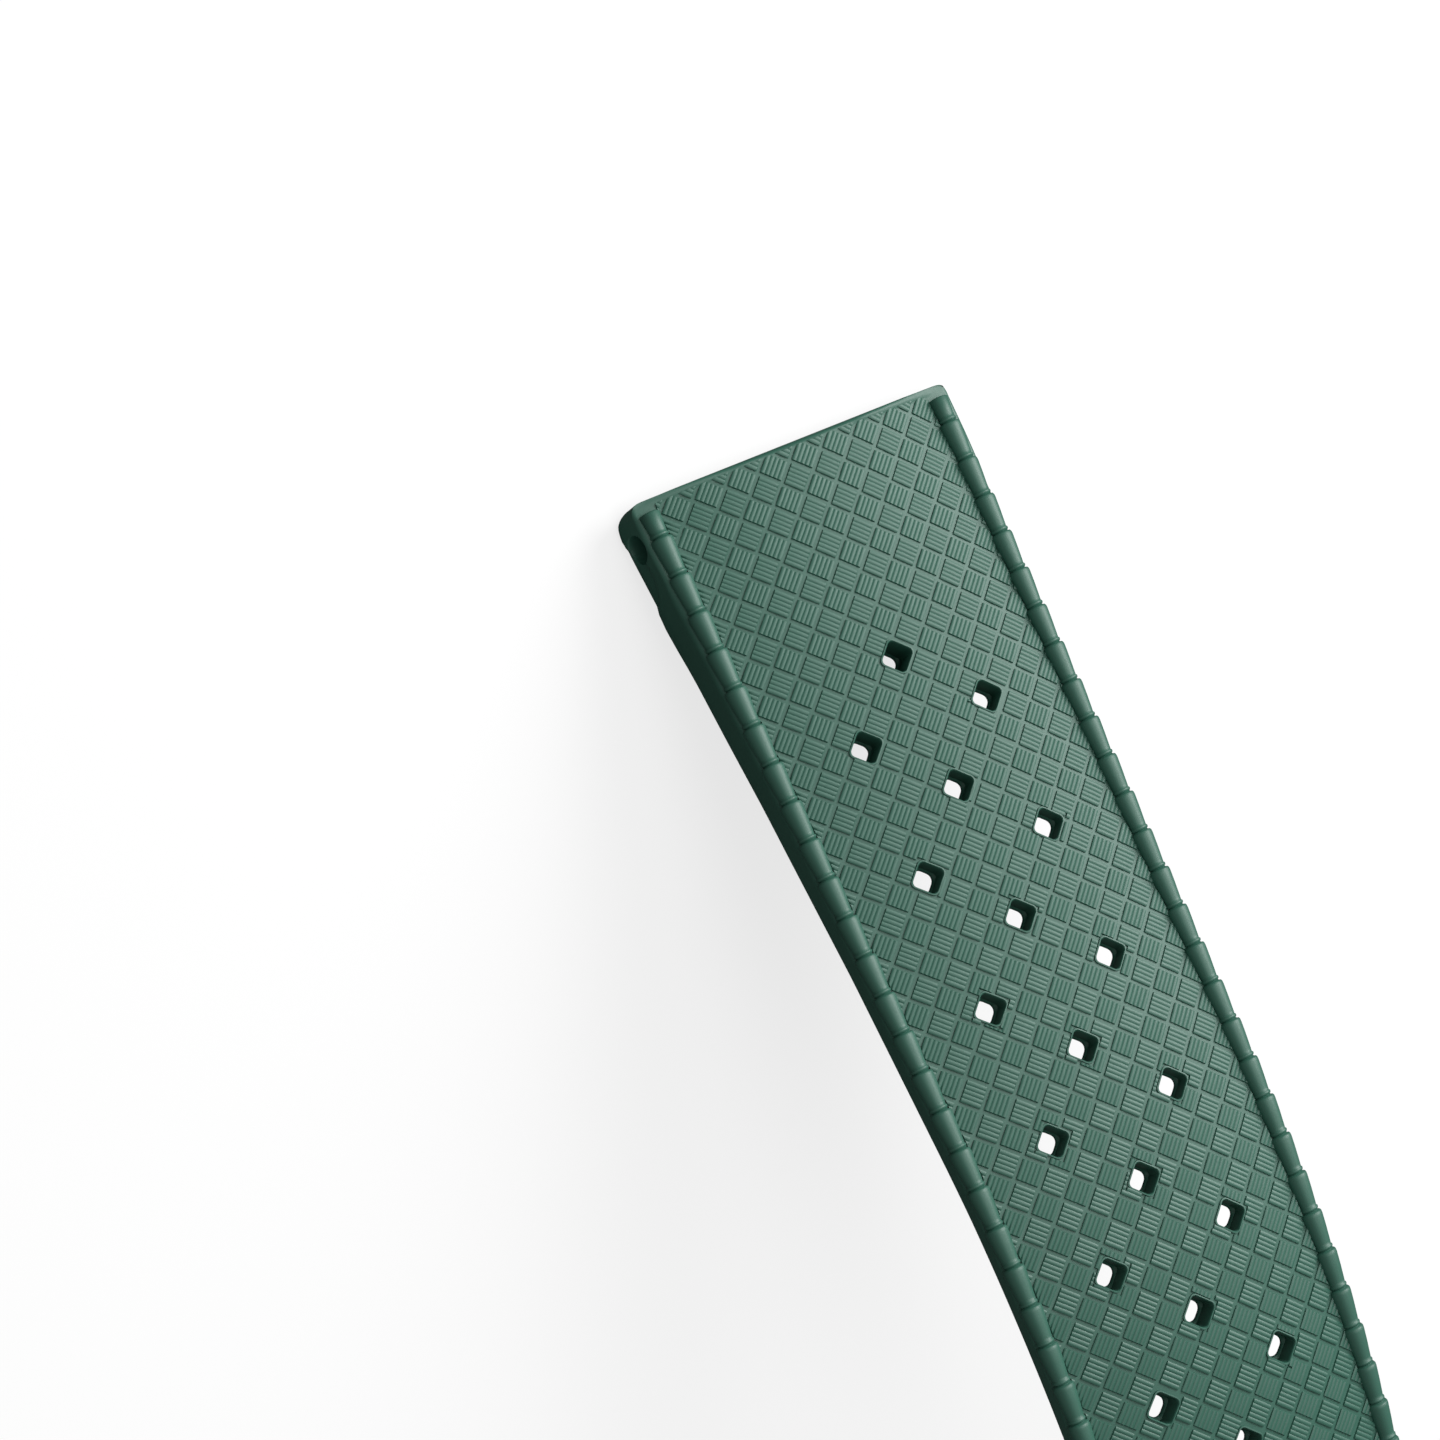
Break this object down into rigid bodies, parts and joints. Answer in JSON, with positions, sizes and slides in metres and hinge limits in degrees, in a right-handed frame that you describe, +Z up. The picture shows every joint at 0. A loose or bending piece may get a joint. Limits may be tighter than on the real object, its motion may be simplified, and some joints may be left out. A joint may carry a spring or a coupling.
{
  "type": "watch strap",
  "caption": "Two-piece perforated rubber watch strap with woven-look top, rope edges, keepers and a pin buckle, laid out unbuckled.",
  "frame": {"origin": "middle of the spring bar bore in the lug end of the long half", "axes": "+X from the lug end towards the tail tip, +Y along the lug bore, +Z up from the surface that both halves rest on"},
  "size_m": [0.1578, 0.0473, 0.0217],
  "materials": {
    "green_rubber": "matte, moulded with a woven relief",
    "buckle_steel": "satin brushed",
    "bar_steel": "plain turned steel"
  },
  "bodies": {
    "long_strap": {"long_half": "green_rubber"},
    "short_strap": {"short_half": "green_rubber", "fixed_keeper": "green_rubber", "bar_tube": "bar_steel", "bar_spring": "bar_steel"},
    "sliding_keeper": {"free_keeper": "green_rubber"},
    "frame": {"buckle_frame": "buckle_steel"},
    "tongue": {"buckle_tongue": "buckle_steel"},
    "left_tip": {"bar_tip_left": "bar_steel"},
    "right_tip": {"bar_tip_right": "bar_steel"}
  },
  "joints": [
    {"name": "short_half_lift", "type": "slide", "parent": "long_strap", "child": "short_strap", "axis": [0, 0, 1], "range_m": [0, 0.04]},
    {"name": "free_keeper_slide", "type": "hinge", "parent": "short_strap", "child": "sliding_keeper", "pos_m": [0.11268, 0.026, -0.06512], "axis": [0, 1, 0], "range_deg": [-9.2, 1.5]},
    {"name": "buckle_hinge", "type": "hinge", "parent": "short_strap", "child": "frame", "pos_m": [0.14394, 0.026, 0.00002], "axis": [0, 1, 0], "range_deg": [-40, 120]},
    {"name": "tongue_hinge", "type": "hinge", "parent": "frame", "child": "tongue", "pos_m": [0.14394, 0.026, 0.00002], "axis": [0, 1, 0], "range_deg": [-50, 0]},
    {"name": "left_tip_press", "type": "slide", "parent": "short_strap", "child": "left_tip", "axis": [0, -1, 0], "range_m": [0, 0.00145], "stiffness_N_per_m": 400, "springref_m": -0.0005, "deforming": ["bar_spring"]},
    {"name": "right_tip_press", "type": "slide", "parent": "short_strap", "child": "right_tip", "axis": [0, 1, 0], "range_m": [0, 0.00145], "stiffness_N_per_m": 400, "springref_m": -0.0005, "deforming": ["bar_spring"]}
  ]
}
